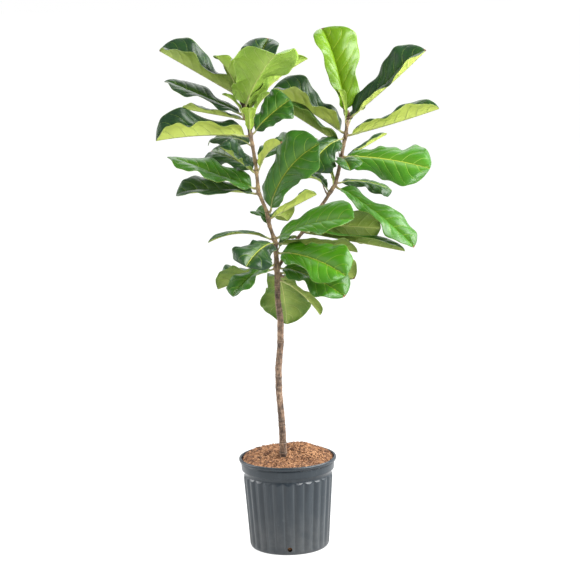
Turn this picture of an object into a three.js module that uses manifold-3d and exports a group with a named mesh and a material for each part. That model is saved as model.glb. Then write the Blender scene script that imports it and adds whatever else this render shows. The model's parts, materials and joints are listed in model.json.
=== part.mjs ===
// Potted fiddle leaf fig: a young tree in a fluted nursery pot.
// Millimetres, +Z up, origin at the centre of the underside of the pot.
// The trunk forks a little over half way up. Every leaf is a blade on its own
// petiole and starts just off the bark that it grows from.

import * as THREE from 'three';
import { mergeVertices } from 'three/addons/utils/BufferGeometryUtils.js';
import Module from 'manifold-3d';

const wasm = await Module();
wasm.setup();

// ---------- driving dimensions ----------

const GAP = 0.4;                 // air left between pieces that touch

const POT_HEIGHT = 245;
const RIM_RADIUS = 130;          // outside of the rolled lip
const LIP_HEIGHT = 9;
const LIP_WIDTH = 6;
const BAND_RADIUS = 124;         // plain band under the lip
const BAND_BOTTOM = 207;
const FLUTE_TOP_RADIUS = 120;    // on a ridge, just under the band
const FOOT_RADIUS = 106;
const FOOT_ROUNDING = 7;
const FLUTES = 26;
const FLUTE_DEPTH = 2.6;
const STEPS_PER_FLUTE = 4;
const POT_WALL = 3.2;            // under the deepest part of a flute
const POT_FLOOR = 3;
const SHOULDER = 227;            // the inside wall flares out to the lip above this
const DRAIN_HOLES = 4;
const DRAIN_RADIUS = 6.5;
const DRAIN_HEIGHT = 17;         // centre of each hole above the ground

const SOIL_EDGE = 237;           // level of the mix where it meets the pot
const MOUND_HEIGHT = 17;
const MOUND_X = 25;
const MOUND_Y = 40;
const MOUND_SPREAD = 75;
const SOIL_STEPS = 40;

const STEM_FOOT = 200;           // level of the lower end of the buried stem
const TRUNK_X = -11;             // where the stem leaves the mix
const TRUNK_RADIUS = 9.8;
const TRUNK_SIDES = 10;
const BRANCH_SIDES = 8;

const PETIOLE_LENGTH = 30;
const PETIOLE_RADIUS = 3;
const LEAF_CLEARANCE = 1.2;      // petiole to bark
const FULL_LEAF = 240;           // petioles and ribs are thinner on leaves shorter than this

// ---------- finishes ----------

function finish(colour, roughness) {
  return new THREE.MeshStandardMaterial({ color: colour, roughness, metalness: 0 });
}

const potPlastic = finish(0x46525a, 0.5);
const pottingMix = finish(0x9a6a45, 0.95);
const bark = finish(0x6f5c4b, 0.85);
const matureLeaf = finish(0x3f7a2c, 0.4);
const youngLeaf = finish(0x9cc23a, 0.45);

// ---------- closed bodies ----------

// A skin over rings of points that all have the same count, closed by a fan at
// each end. A ring runs anticlockwise when seen from the far end of the body.
// Sides from `mirrorFrom` on are split along their other diagonal.
function loft(rings, startPoint, endPoint, mirrorFrom = Infinity) {
  const count = rings[0].length;
  const points = [...rings.flat(), startPoint, endPoint];
  const start = points.length - 2;
  const end = points.length - 1;
  const last = start - count;
  const faces = [];
  for (let row = 0; row + 1 < rings.length; row += 1) {
    for (let side = 0; side < count; side += 1) {
      const a = row * count + side;
      const b = row * count + (side + 1) % count;
      if (side < mirrorFrom) {
        faces.push(a, b, b + count);
        faces.push(a, b + count, a + count);
      } else {
        faces.push(a, b, a + count);
        faces.push(b, b + count, a + count);
      }
    }
  }
  for (let side = 0; side < count; side += 1) {
    const next = (side + 1) % count;
    faces.push(start, next, side);
    faces.push(end, last + side, last + next);
  }
  const geometry = new THREE.BufferGeometry().setFromPoints(points);
  geometry.setIndex(faces);
  return geometry;
}

function toSolid(geometry) {
  const bare = geometry.clone();
  bare.deleteAttribute('normal');
  bare.deleteAttribute('uv');
  const merged = mergeVertices(bare, 1e-4);
  return new wasm.Manifold(new wasm.Mesh({
    numProp: 3,
    vertProperties: Float32Array.from(merged.attributes.position.array),
    triVerts: Uint32Array.from(merged.index.array),
  }));
}

function toGeometry(solid) {
  const mesh = solid.getMesh();
  const geometry = new THREE.BufferGeometry();
  geometry.setAttribute('position', new THREE.BufferAttribute(mesh.vertProperties, 3));
  geometry.setIndex(new THREE.BufferAttribute(mesh.triVerts, 1));
  return geometry;
}

// A level ring of points about the pot's axis. bend moves each [radius, height].
function levelRing(radius, height, steps, bend) {
  const ring = [];
  for (let step = 0; step < steps; step += 1) {
    const angle = 2 * Math.PI * step / steps;
    const [r, z] = bend(radius, height, step, angle);
    ring.push(new THREE.Vector3(r * Math.cos(angle), r * Math.sin(angle), z));
  }
  return ring;
}

// ---------- pot ----------

// Inside radius of the tapered wall at a height.
function wallInside(height) {
  const taper = (FLUTE_TOP_RADIUS - FOOT_RADIUS) / BAND_BOTTOM;
  return FOOT_RADIUS + taper * height - FLUTE_DEPTH - POT_WALL;
}

function drainCutter(turn) {
  const length = 24;
  const cutter = new THREE.CylinderGeometry(DRAIN_RADIUS, DRAIN_RADIUS, length, 12);
  cutter.translate(0, -FOOT_RADIUS, DRAIN_HEIGHT);
  cutter.rotateZ(turn);
  return toSolid(cutter);
}

function potGeometry() {
  const lipBottom = POT_HEIGHT - LIP_HEIGHT;
  const outside = [
    [FOOT_RADIUS - FOOT_ROUNDING, 0],
    [FOOT_RADIUS - 2, 2.5],
    [FOOT_RADIUS, FOOT_ROUNDING],
    [FLUTE_TOP_RADIUS - 1, BAND_BOTTOM - 14],
    [FLUTE_TOP_RADIUS, BAND_BOTTOM],
    [BAND_RADIUS - 1, BAND_BOTTOM + 2],
    [BAND_RADIUS, lipBottom - 2],
    [RIM_RADIUS - 1, lipBottom],
    [RIM_RADIUS, lipBottom + 3],
    [RIM_RADIUS, POT_HEIGHT - 2],
    [RIM_RADIUS - 2.5, POT_HEIGHT],
  ];
  const inside = [
    [RIM_RADIUS - LIP_WIDTH + 1, POT_HEIGHT],
    [RIM_RADIUS - LIP_WIDTH - 1, POT_HEIGHT - 3],
    [wallInside(SHOULDER), SHOULDER],
    [wallInside(POT_FLOOR), POT_FLOOR],
  ];
  const fluted = (radius, height, step) => {
    const inFlutes = height >= FOOT_ROUNDING && height < BAND_BOTTOM;
    const inValley = step % STEPS_PER_FLUTE === 0;
    return [inFlutes && inValley ? radius - FLUTE_DEPTH : radius, height];
  };
  const plain = (radius, height) => [radius, height];
  const steps = FLUTES * STEPS_PER_FLUTE;
  const rings = [
    ...outside.map(([radius, height]) => levelRing(radius, height, steps, fluted)),
    ...inside.map(([radius, height]) => levelRing(radius, height, steps, plain)),
  ];
  const underside = new THREE.Vector3(0, 0, 0);
  const floor = new THREE.Vector3(0, 0, POT_FLOOR);
  let pot = toSolid(loft(rings, underside, floor));
  for (let hole = 0; hole < DRAIN_HOLES; hole += 1) {
    pot = pot.subtract(drainCutter(2 * Math.PI * hole / DRAIN_HOLES));
  }
  return toGeometry(pot);
}

// ---------- potting mix ----------

function soilGeometry() {
  const flare = (RIM_RADIUS - LIP_WIDTH - 1 - wallInside(SHOULDER)) / (POT_HEIGHT - 3 - SHOULDER);
  const edge = wallInside(SHOULDER) + flare * (SOIL_EDGE - SHOULDER) - 2 * GAP;
  const mounded = (radius, height, step, angle) => {
    const dx = radius * Math.cos(angle) - MOUND_X;
    const dy = radius * Math.sin(angle) - MOUND_Y;
    const rise = MOUND_HEIGHT * Math.exp(-(dx * dx + dy * dy) / (MOUND_SPREAD * MOUND_SPREAD));
    const towardsWall = 1 - (radius / edge) ** 4;
    return [radius, height + rise * towardsWall];
  };
  const plain = (radius, height) => [radius, height];
  const bottom = POT_FLOOR + GAP;
  const rings = [
    levelRing(wallInside(bottom) - GAP, bottom, SOIL_STEPS, plain),
    levelRing(wallInside(SHOULDER) - GAP, SHOULDER, SOIL_STEPS, plain),
    levelRing(edge, SOIL_EDGE, SOIL_STEPS, plain),
    levelRing(0.8 * edge, SOIL_EDGE, SOIL_STEPS, mounded),
    levelRing(0.5 * edge, SOIL_EDGE, SOIL_STEPS, mounded),
    levelRing(0.25 * edge, SOIL_EDGE, SOIL_STEPS, mounded),
  ];
  const [, middle] = mounded(0, SOIL_EDGE, 0, 0);
  const start = new THREE.Vector3(0, 0, bottom);
  const mix = toSolid(loft(rings, start, new THREE.Vector3(0, 0, middle)));
  const depth = 2 * (POT_HEIGHT - STEM_FOOT);
  const socket = new THREE.CylinderGeometry(TRUNK_RADIUS + 2 * GAP, TRUNK_RADIUS + 2 * GAP, depth, 16);
  socket.rotateX(Math.PI / 2);
  socket.translate(TRUNK_X, 0, STEM_FOOT - GAP + depth / 2);
  return toGeometry(mix.subtract(toSolid(socket)));
}

// ---------- stem ----------

// Each point is x, y, z and the radius of the wood there.
const leader = [
  [TRUNK_X, 0, STEM_FOOT, TRUNK_RADIUS],
  [TRUNK_X, 0, 262, TRUNK_RADIUS],
  [-12, 0, 316, 9.2],
  [-14, 0, 357, 8.9],
  [-18, 0, 420, 8.8],
  [-18, 0, 485, 8.8],
  [-11, 0, 547, 8.8],
  [-9, 0, 614, 8.6],
  [-15, 0, 670, 7.5],
  [-15, 0, 752, 7],
  [-15, 0, 768, 7.6],
  [-16, -2, 790, 6],
  [-17, -4, 822, 5.6],
  [-31, -10, 867, 5],
  [-38, -14, 907, 5],
  [-57, -18, 957, 5.2],
  [-62, -20, 1026, 4.8],
  [-69, -20, 1078, 5],
  [-78, -20, 1133, 5],
  [-89, -20, 1174, 4.5],
  [-88, -20, 1212, 3.5],
];

const sideBranch = [
  [-15, 0, 748, 4],
  [-2, 12, 768, 5.4],
  [20, 26, 800, 5.2],
  [57, 40, 843, 5],
  [118, 50, 924, 5],
  [142, 54, 960, 5.4],
  [152, 56, 990, 5.6],
  [160, 58, 1025, 5],
  [168, 60, 1061, 4.8],
  [176, 60, 1097, 5],
  [180, 60, 1130, 4.6],
  [182, 60, 1157, 3.5],
];

const spur = [
  [-14, -1, 724, 2.5],
  [-4, -4, 734, 3.2],
  [2, -6, 729, 2.6],
];

const twig = [
  [125, 51, 932, 2.5],
  [119, 53, 944, 2.2],
  [112, 56, 962, 1.8],
];

function place(point) {
  return new THREE.Vector3(point[0], point[1], point[2]);
}

function woodSolid(path, sides) {
  const curve = new THREE.CatmullRomCurve3(path.map(place), false, 'centripetal');
  const rings = path.map((point, index) => {
    const tangent = curve.getTangent(index / (path.length - 1));
    const across = new THREE.Vector3(0, 1, 0).cross(tangent).normalize();
    const back = tangent.clone().cross(across);
    const ring = [];
    for (let side = 0; side < sides; side += 1) {
      const angle = 2 * Math.PI * side / sides;
      const spoke = across.clone().multiplyScalar(Math.cos(angle));
      spoke.addScaledVector(back, Math.sin(angle));
      ring.push(place(point).addScaledVector(spoke, point[3]));
    }
    return ring;
  });
  return toSolid(loft(rings, place(path[0]), place(path[path.length - 1])));
}

function stemGeometry() {
  let wood = woodSolid(leader, TRUNK_SIDES);
  wood = wood.add(woodSolid(sideBranch, BRANCH_SIDES));
  wood = wood.add(woodSolid(spur, 6));
  wood = wood.add(woodSolid(twig, 6));
  return toGeometry(wood);
}

// Centre and radius of the wood at a height, on the leader or the side branch.
function woodAt(path, height) {
  const above = path.findIndex((point) => point[2] > height);
  const high = path[above];
  const low = path[above - 1];
  const t = (height - low[2]) / (high[2] - low[2]);
  return low.map((value, index) => value + t * (high[index] - value));
}

// ---------- leaves ----------

// Half of a blade's outline: distance along the blade, half-width of it.
const BLADE_OUTLINE = [
  [0.015, 0.2],
  [0.07, 0.5],
  [0.17, 0.57],
  [0.32, 0.6],
  [0.5, 0.84],
  [0.67, 1],
  [0.82, 0.92],
  [0.93, 0.6],
  [0.985, 0.2],
];

// A leaf leaves the wood at height `at`. It points along `azimuth`, 0 to +X and
// 90 to +Y, and up by `rise`, all in degrees. `roll` turns the blade about its
// midrib and `twist` turns the tip further. `fold` lifts both halves from flat
// into a V at the base, and `tipFold` at the tip. `bow` arches the midrib up
// and `sway` bends it to the right, in millimetres.
function leafGeometry(path, leaf) {
  const {
    at, azimuth, rise, length, width,
    roll = 0, twist = 0, fold = 30, tipFold = fold, bow = 12, sway = 0,
    petiole = PETIOLE_LENGTH,
  } = leaf;
  const turn = THREE.MathUtils.degToRad(azimuth);
  const climb = THREE.MathUtils.degToRad(rise);
  const outwards = new THREE.Vector3(Math.cos(turn), Math.sin(turn), 0);
  const right = new THREE.Vector3(Math.sin(turn), -Math.cos(turn), 0);
  const ahead = outwards.clone().multiplyScalar(Math.cos(climb));
  ahead.z = Math.sin(climb);
  const up = right.clone().cross(ahead);

  const slimness = Math.min(1, 0.4 + 0.6 * length / FULL_LEAF);
  const [x, y, z, woodRadius] = woodAt(path, at);
  const stalk = slimness * PETIOLE_RADIUS;
  const reach = woodRadius + LEAF_CLEARANCE + stalk * Math.abs(Math.sin(climb));
  const base = new THREE.Vector3(x, y, z).addScaledVector(outwards, reach);
  const tip = new THREE.Vector3(x, y, z).addScaledVector(ahead, length);
  const elbow = base.clone().add(tip).multiplyScalar(0.5);
  elbow.addScaledVector(up, 2 * bow);
  elbow.addScaledVector(right, 2 * sway);
  const midrib = new THREE.QuadraticBezierCurve3(base, elbow, tip);

  const ringAt = (t, along, halfWidth, ribWidth, ribDepth, lift) => {
    const centre = midrib.getPoint(t);
    const tangent = midrib.getTangent(t);
    const flat = right.clone().addScaledVector(tangent, -right.dot(tangent)).normalize();
    const above = flat.clone().cross(tangent);
    const opened = Math.min(1, t * length / petiole);
    const angle = THREE.MathUtils.degToRad(opened * roll + along * twist);
    const across = flat.clone().multiplyScalar(Math.cos(angle));
    across.addScaledVector(above, Math.sin(angle));
    const normal = across.clone().cross(tangent);
    const corner = (sideways, upwards) => centre.clone()
      .addScaledVector(across, sideways)
      .addScaledVector(normal, upwards);
    const edge = halfWidth * Math.cos(lift);
    const height = halfWidth * Math.sin(lift);
    return [
      corner(-edge, height),
      corner(-ribWidth, 0),
      corner(ribWidth, 0),
      corner(edge, height),
      corner(0.6 * ribWidth, -ribDepth),
      corner(-0.6 * ribWidth, -ribDepth),
    ];
  };

  const start = petiole / length;
  const rings = [];
  for (const t of [0, 0.5 * start, 0.95 * start]) {
    rings.push(ringAt(t, 0, 1.15 * stalk, 0.7 * stalk, 1.5 * stalk, 0));
  }
  for (const [along, share] of BLADE_OUTLINE) {
    const lift = THREE.MathUtils.degToRad(fold + along * (tipFold - fold));
    const taper = slimness * (1 - along);
    const t = start + along * (1 - start);
    rings.push(ringAt(t, along, share * width / 2, 0.6 + 1.6 * taper, 1 + 2.4 * taper, lift));
  }
  // The underside is split like the top, so a twisted blade keeps its thickness.
  return loft(rings, base, tip, 3);
}

const leftLeaves = [
  { at: 722, azimuth: 32, rise: -40, length: 172, width: 45, fold: 40, bow: 10 },
  { at: 735, azimuth: 81, rise: -48, length: 215, width: 135, fold: 10, bow: 25 },
  { at: 740, azimuth: 22, rise: -9, length: 225, width: 125, roll: 35, fold: 15 },
  { at: 752, azimuth: 173, rise: -19, length: 168, width: 125, roll: -5, fold: 45, bow: 0 },
  { at: 755, azimuth: 332, rise: -19, length: 208, width: 125, roll: -25, fold: 10 },
  { at: 764, azimuth: 221, rise: -24, length: 166, width: 85, roll: 5, fold: 15 },
  { at: 795, azimuth: 327, rise: -13, length: 220, width: 132, roll: -38, fold: 12, bow: 15 },
  { at: 800, azimuth: 52, rise: 16, length: 76, width: 45, fold: 20 },
  { at: 820, azimuth: 0, rise: -8, length: 217, width: 90, roll: 20, fold: 20, bow: 5 },
  { at: 822, azimuth: 238, rise: -17, length: 150, width: 110, roll: 25, fold: 0 },
  { at: 832, azimuth: 188, rise: -1, length: 174, width: 45, fold: 15, bow: 20 },
  { at: 835, azimuth: 333, rise: 14, length: 240, width: 125, roll: -35, fold: 15 },
  { at: 868, azimuth: 125, rise: 20, length: 70, width: 50, roll: 20, petiole: 15 },
  { at: 885, azimuth: 50, rise: -11, length: 82, width: 80, roll: 30, petiole: 12 },
  { at: 888, azimuth: 348, rise: 25, length: 145, width: 60, fold: 50, bow: 0 },
  { at: 905, azimuth: 342, rise: 50, length: 232, width: 138, roll: -70, fold: 10, bow: 26 },
  { at: 954, azimuth: 172, rise: -1, length: 220, width: 105, roll: 25, fold: 25, bow: 8 },
  {
    at: 968, azimuth: 178, rise: 20, length: 250, width: 135,
    roll: 40, twist: -45, fold: 30, tipFold: -5, bow: -4,
  },
  { at: 1013, azimuth: 129, rise: 11, length: 198, width: 102, roll: 29, fold: 12, bow: 5 },
  { at: 1010, azimuth: 218, rise: 33, length: 136, width: 80, roll: 55, fold: 45, bow: 0 },
  { at: 1015, azimuth: 314, rise: 37, length: 123, width: 55, fold: 50 },
  { at: 1040, azimuth: 40, rise: 10, length: 205, width: 105, roll: -10, fold: 15 },
  { at: 1080, azimuth: 130, rise: 1, length: 170, width: 80, roll: 20, fold: 0 },
  { at: 1105, azimuth: 190, rise: -1, length: 246, width: 145, twist: 35, fold: 50, tipFold: 60, bow: 8 },
  { at: 1110, azimuth: 8, rise: 38, length: 136, width: 105, roll: -50, fold: 10, bow: 5 },
  { at: 1115, azimuth: 271, rise: 45, length: 92, width: 38, fold: 15, petiole: 12, young: true },
  { at: 1130, azimuth: 335, rise: 53, length: 106, width: 30, fold: 45, young: true },
  { at: 1140, azimuth: 62, rise: 56, length: 76, width: 36, fold: 30, young: true },
  { at: 1148, azimuth: 152, rise: 7, length: 192, width: 75, roll: -10, fold: 20, bow: 0 },
  { at: 1150, azimuth: 214, rise: 42, length: 97, width: 26, fold: 30, young: true },
  { at: 1160, azimuth: 166, rise: 22, length: 232, width: 100, roll: 12, fold: 10, bow: 0 },
  { at: 1168, azimuth: 358, rise: 38, length: 212, width: 100, roll: 15, fold: 20, young: true },
  { at: 1180, azimuth: 297, rise: 36, length: 236, width: 178, roll: 8, fold: 15, young: true },
  { at: 1185, azimuth: 60, rise: 50, length: 212, width: 105, roll: -10, fold: 15 },
  { at: 1190, azimuth: 208, rise: 58, length: 144, width: 120, fold: 15, young: true },
  {
    at: 1205, azimuth: 164, rise: 28, length: 256, width: 130,
    roll: -15, twist: 45, fold: 40, tipFold: 60, bow: 0,
  },
];

const rightLeaves = [
  { at: 842, azimuth: 345, rise: -10, length: 278, width: 60, fold: 40, bow: 0 },
  { at: 862, azimuth: 8, rise: -6, length: 195, width: 100, roll: 75, fold: 5, bow: 0 },
  { at: 945, azimuth: 128, rise: 16, length: 103, width: 55, fold: 40 },
  { at: 958, azimuth: 340, rise: -36, length: 268, width: 105, roll: -20, fold: 15, bow: 8 },
  { at: 965, azimuth: 237, rise: 39, length: 52, width: 20, petiole: 12 },
  { at: 968, azimuth: 20, rise: -11, length: 165, width: 80, roll: -20, fold: -20 },
  { at: 1025, azimuth: 284, rise: -11, length: 92, width: 75, fold: 15, petiole: 18 },
  { at: 1030, azimuth: 23, rise: 23, length: 148, width: 34, fold: 40, bow: 0 },
  { at: 1037, azimuth: 339, rise: -7, length: 244, width: 150, roll: -38, fold: -10, bow: 8 },
  { at: 1070, azimuth: 190, rise: 32, length: 198, width: 85, roll: 10, fold: 45, bow: 0 },
  { at: 1085, azimuth: 214, rise: -34, length: 140, width: 120, roll: 35, fold: 0, bow: 15 },
  { at: 1093, azimuth: 346, rise: 15, length: 258, width: 95, roll: -5, fold: 50, bow: -3 },
  { at: 1100, azimuth: 170, rise: 29, length: 226, width: 145, twist: 25, fold: 50, bow: 5 },
  { at: 1120, azimuth: 48, rise: 26, length: 75, width: 40 },
  { at: 1125, azimuth: 242, rise: 60, length: 102, width: 30, fold: 40, young: true },
  { at: 1140, azimuth: 349, rise: 39, length: 270, width: 125, roll: -35, fold: 40, bow: -4 },
  { at: 1148, azimuth: 142, rise: 70, length: 236, width: 155, roll: 18, fold: 30, young: true },
];

// ---------- assembly ----------

const plant = new THREE.Group();

function addPiece(name, geometry, material) {
  const mesh = new THREE.Mesh(geometry, material);
  mesh.name = name;
  plant.add(mesh);
}

function addLeaves(side, path, leaves) {
  leaves.forEach((leaf, index) => {
    const number = String(index + 1).padStart(2, '0');
    const material = leaf.young ? youngLeaf : matureLeaf;
    addPiece(`leaf_${side}_${number}`, leafGeometry(path, leaf), material);
  });
}

addPiece('pot', potGeometry(), potPlastic);
addPiece('potting_mix', soilGeometry(), pottingMix);
addPiece('stem', stemGeometry(), bark);
addLeaves('left', leader, leftLeaves);
addLeaves('right', sideBranch, rightLeaves);

export default plant;
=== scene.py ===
import json
import math

import bmesh
import bpy
import numpy as np
from mathutils import Matrix, Vector


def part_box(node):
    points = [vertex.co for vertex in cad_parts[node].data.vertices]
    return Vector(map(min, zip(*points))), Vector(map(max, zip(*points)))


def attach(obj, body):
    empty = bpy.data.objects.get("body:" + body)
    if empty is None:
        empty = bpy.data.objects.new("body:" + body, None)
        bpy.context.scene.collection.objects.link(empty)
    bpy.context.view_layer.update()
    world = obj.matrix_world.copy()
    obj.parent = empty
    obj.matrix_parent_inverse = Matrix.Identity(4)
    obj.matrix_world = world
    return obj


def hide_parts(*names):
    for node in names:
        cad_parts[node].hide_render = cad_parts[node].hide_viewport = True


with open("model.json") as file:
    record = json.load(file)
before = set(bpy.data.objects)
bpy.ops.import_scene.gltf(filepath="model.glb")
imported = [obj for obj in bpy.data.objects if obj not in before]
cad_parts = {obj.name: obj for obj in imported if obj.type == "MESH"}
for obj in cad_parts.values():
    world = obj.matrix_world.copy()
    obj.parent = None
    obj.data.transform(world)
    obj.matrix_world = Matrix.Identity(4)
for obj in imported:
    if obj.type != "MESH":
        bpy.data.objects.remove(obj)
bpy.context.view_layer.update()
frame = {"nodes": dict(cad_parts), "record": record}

# ---------- Camera ----------
# A long lens at chest height, five metres in front of the plant and a little
# above it, looking slightly down, so the top of the potting mix shows.


def new_object(name, data):
    """An object in the scene that holds this data."""
    thing = bpy.data.objects.new(name, data)
    bpy.context.scene.collection.objects.link(thing)
    return thing


camera = new_object("camera", bpy.data.cameras.new("camera"))
bpy.context.scene.camera = camera
camera.data.lens = 119.7
camera.data.sensor_width = 36
camera_tilt = Matrix.Rotation(math.radians(90 - 9.72), 4, "X")
camera_roll = Matrix.Rotation(math.radians(-1.5), 4, "Z")
camera.matrix_world = Matrix.Translation((0.018, -5.0, 1.55)) @ camera_tilt @ camera_roll

# ---------- Pot ----------
# A 10 inch nursery pot, injection moulded in one piece from dark slate-grey
# polypropylene. It has a rolled lip, a plain band, 26 upright ribs with rounded
# tops, a rounded foot and drain holes close to the ground.


class Wire:
    """One socket of a node tree. Sums written on wires add Math nodes."""

    def __init__(self, tree, socket=None):
        self.tree = tree
        self.socket = socket

    def node(self, kind, settings=None, values=None, out=0):
        """Adds a node, sets it up, feeds its inputs, and returns one of its outputs."""
        node = self.tree.nodes.new(kind)
        for name, value in (settings or {}).items():
            setattr(node, name, value)
        for name, value in (values or {}).items():
            if isinstance(value, Wire):
                self.tree.links.new(value.socket, node.inputs[name])
            else:
                node.inputs[name].default_value = value
        return Wire(self.tree, node.outputs[out] if node.outputs else None)

    def sum_node(self, operation, first, second=0.0):
        return self.node("ShaderNodeMath", {"operation": operation}, {0: first, 1: second})

    def __add__(self, other):
        return self.sum_node("ADD", self, other)

    def __radd__(self, other):
        return self.sum_node("ADD", other, self)

    def __sub__(self, other):
        return self.sum_node("SUBTRACT", self, other)

    def __rsub__(self, other):
        return self.sum_node("SUBTRACT", other, self)

    def __mul__(self, other):
        return self.sum_node("MULTIPLY", self, other)

    def __rmul__(self, other):
        return self.sum_node("MULTIPLY", other, self)

    def __truediv__(self, other):
        return self.sum_node("DIVIDE", self, other)

    def __abs__(self):
        return self.sum_node("ABSOLUTE", self)

    def least(self, other):
        return self.sum_node("MINIMUM", self, other)

    def most(self, other):
        return self.sum_node("MAXIMUM", self, other)

    def step(self, low, high):
        """0 below low, 1 above high, smooth between them."""
        settings = {"interpolation_type": "SMOOTHSTEP"}
        values = {"Value": self, "From Min": low, "From Max": high}
        return self.node("ShaderNodeMapRange", settings, values)

    def blend(self, first, second):
        """The first colour where this mask is 0 and the second where it is 1."""
        values = {0: self, 6: first, 7: second}
        return self.node("ShaderNodeMix", {"data_type": "RGBA"}, values, out=2)

    def ramp(self, *stops):
        """Colours set at stops along this number and blended between them."""
        wire = self.node("ShaderNodeValToRGB", None, {"Fac": self})
        band = wire.socket.node.color_ramp.elements
        band.remove(band[1])
        band[0].position, band[0].color = stops[0][0], (*stops[0][1], 1)
        for spot, colour in stops[1:]:
            band.new(spot).color = (*colour, 1)
        return wire

    def axes(self):
        """The three numbers of a place."""
        outputs = self.node("ShaderNodeSeparateXYZ", None, {"Vector": self}).socket.node.outputs
        return [Wire(self.tree, outputs[axis]) for axis in "XYZ"]

    def read(self, label):
        """A number kept at the points of the mesh."""
        return self.node("ShaderNodeAttribute", {"attribute_name": label}, out="Fac")

    def noise(self, place, scale, detail=3.0, rough=0.5, stretch=None):
        """Cloudy noise from 0 to 1 that reads a place."""
        if stretch:
            settings = {"vector_type": "VECTOR"}
            place = self.node("ShaderNodeMapping", settings, {"Vector": place, "Scale": stretch})
        values = {"Vector": place, "Scale": scale, "Detail": detail, "Roughness": rough}
        return self.node("ShaderNodeTexNoise", None, values)


def new_finish(name):
    """An empty material, the start of its wires, and its surface's place."""
    finish = bpy.data.materials.new(name)
    finish.use_nodes = True
    finish.node_tree.nodes.clear()
    wire = Wire(finish.node_tree)
    place = wire.node("ShaderNodeTexCoord", out="Object")
    return finish, wire, place


def close_finish(wire, colour, roughness, height, depth, **fixed):
    """Ends a material in one plain shader, its bumps raised by height times depth metres."""
    bump = wire.node("ShaderNodeBump", None, {"Height": height, "Distance": depth})
    values = {"Base Color": colour, "Roughness": roughness, "Normal": bump, **fixed}
    shader = wire.node("ShaderNodeBsdfPrincipled", None, values)
    wire.node("ShaderNodeOutputMaterial", None, {"Surface": shader})


def closed_grid(rows, around=False):
    """Faces of a skin over rows of point numbers, closed into a tube if it runs around."""
    low, high = rows[:-1], rows[1:]
    if around:
        low_next, high_next = np.roll(low, -1, axis=1), np.roll(high, -1, axis=1)
    else:
        low, high, low_next, high_next = low[:, :-1], high[:, :-1], low[:, 1:], high[:, 1:]
    return np.stack([low, low_next, high_next, high], axis=-1).reshape(-1, 4)


def end_caps(rows):
    """The two faces that close the first and the last ring of a tube."""
    return [rows[0][::-1].tolist(), rows[-1].tolist()]


def new_piece(name, points, faces, finishes):
    mesh = bpy.data.meshes.new(name)
    mesh.from_pydata(points, [], faces)
    for finish in finishes:
        mesh.materials.append(finish)
    mesh.shade_smooth()
    return new_object(name, mesh)


def piece_from(shape, name):
    """Turns an edited shape into a piece and lets the shape go."""
    mesh = bpy.data.meshes.new(name)
    shape.to_mesh(mesh)
    shape.free()
    return new_object(name, mesh)


def bake_modifiers(piece):
    """Makes the result of a piece's modifiers its plain mesh."""
    graph = bpy.context.evaluated_depsgraph_get()
    baked = bpy.data.meshes.new_from_object(piece.evaluated_get(graph))
    piece.modifiers.clear()
    piece.data = baked


pot_low, pot_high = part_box("pot")
rim_radius = (pot_high.x - pot_low.x) / 2
pot_height = pot_high.z
rib_count = 26
rib_depth = 0.0048
wall = 0.0022
lip_reach = 0.0093
hole_radius = 0.0066
hole_height = 0.017
foot_radius = rim_radius * 0.812
rib_top_radius = rim_radius * 0.922
rib_top = pot_height - 0.043

plastic, wire, place = new_finish("slate_plastic")
streaks = wire.noise(place, 60, 4, 0.6, (1, 1, 0.06))
clouds = wire.noise(place, 9, 3)
scuffs = wire.noise(place, 38, 6, 0.7).step(0.6, 0.75)
east, north, up = place.axes()
# Lighter grey and rougher towards the foot: partly dust, partly a painted reflection of the white
# floor.
dust_and_floor_reflection = (1 - up.step(0.0, 0.16)) * (0.35 + wire.noise(place, 24, 5, 0.65).step(0.35, 0.7) * 0.65)
# Painted highlight: thin lighter lines in the valleys between the ribs stand in for light caught
# there.
round_way = wire.sum_node("ARCTAN2", north, east)
valley_highlight = 1 - abs(wire.sum_node("SINE", round_way * rib_count / 2)).step(0.0, 0.42)
valley_highlight = valley_highlight * (1 - up.step(rib_top - 0.010, rib_top - 0.004)) * up.step(0.004, 0.020)
slate = clouds.blend((0.008, 0.015, 0.022, 1), (0.020, 0.030, 0.038, 1))
slate = (streaks.step(0.45, 0.8) * 0.45).blend(slate, (0.055, 0.070, 0.080, 1))
slate = (scuffs * 0.22).blend(slate, (0.12, 0.135, 0.14, 1))
slate = (valley_highlight * 0.32).blend(slate, (0.125, 0.145, 0.155, 1))
slate = (dust_and_floor_reflection * 0.42).blend(slate, (0.135, 0.135, 0.13, 1))
gloss = 0.26 + streaks * 0.12 + dust_and_floor_reflection * 0.2 + scuffs * 0.1
grain = wire.noise(place, 420, 2) * 0.3 + streaks * 0.7
close_finish(wire, slate, gloss, grain, 0.0004, IOR=1.5)

# The wall is turned from one outline of radius and height. A third number marks the ribbed part.
underside_and_foot = (
    (0.30, 0.0016), (0.60, 0.0016), (0.80, 0.0012), (0.88, 0.0), (0.92, 0.0), (0.945, 0.0006),
    (0.968, 0.0020), (0.985, 0.0042), (0.996, 0.0072),
)
band_and_lip = (
    (-0.0022, -0.0365), (-0.0016, -0.0345), (-0.0002, -0.0338), (0.0018, -0.0332),
    (0.0026, -0.0322), (0.0030, -0.0300), (0.0034, -0.0240), (0.0039, -0.0170),
    (0.0041, -0.0136), (0.0036, -0.0124), (0.0030, -0.0112), (0.0032, -0.0102),
    (0.0046, -0.0096), (0.0070, -0.0092), (0.0084, -0.0084), (0.0091, -0.0068),
    (0.0093, -0.0046), (0.0090, -0.0026), (0.0080, -0.0010), (0.0064, -0.0002),
    (0.0050, 0.0), (0.0036, -0.0006), (0.0026, -0.0022), (0.0020, -0.0046),
    (0.0010, -0.0080), (-0.0010, -0.0130), (-0.0026, -0.0180), (-0.0050, -0.0280),
)
skin = [(foot_radius * share, height, 0) for share, height in underside_and_foot]
lower_ribs = np.linspace(0.011, rib_top - 0.020, 22)
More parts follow.
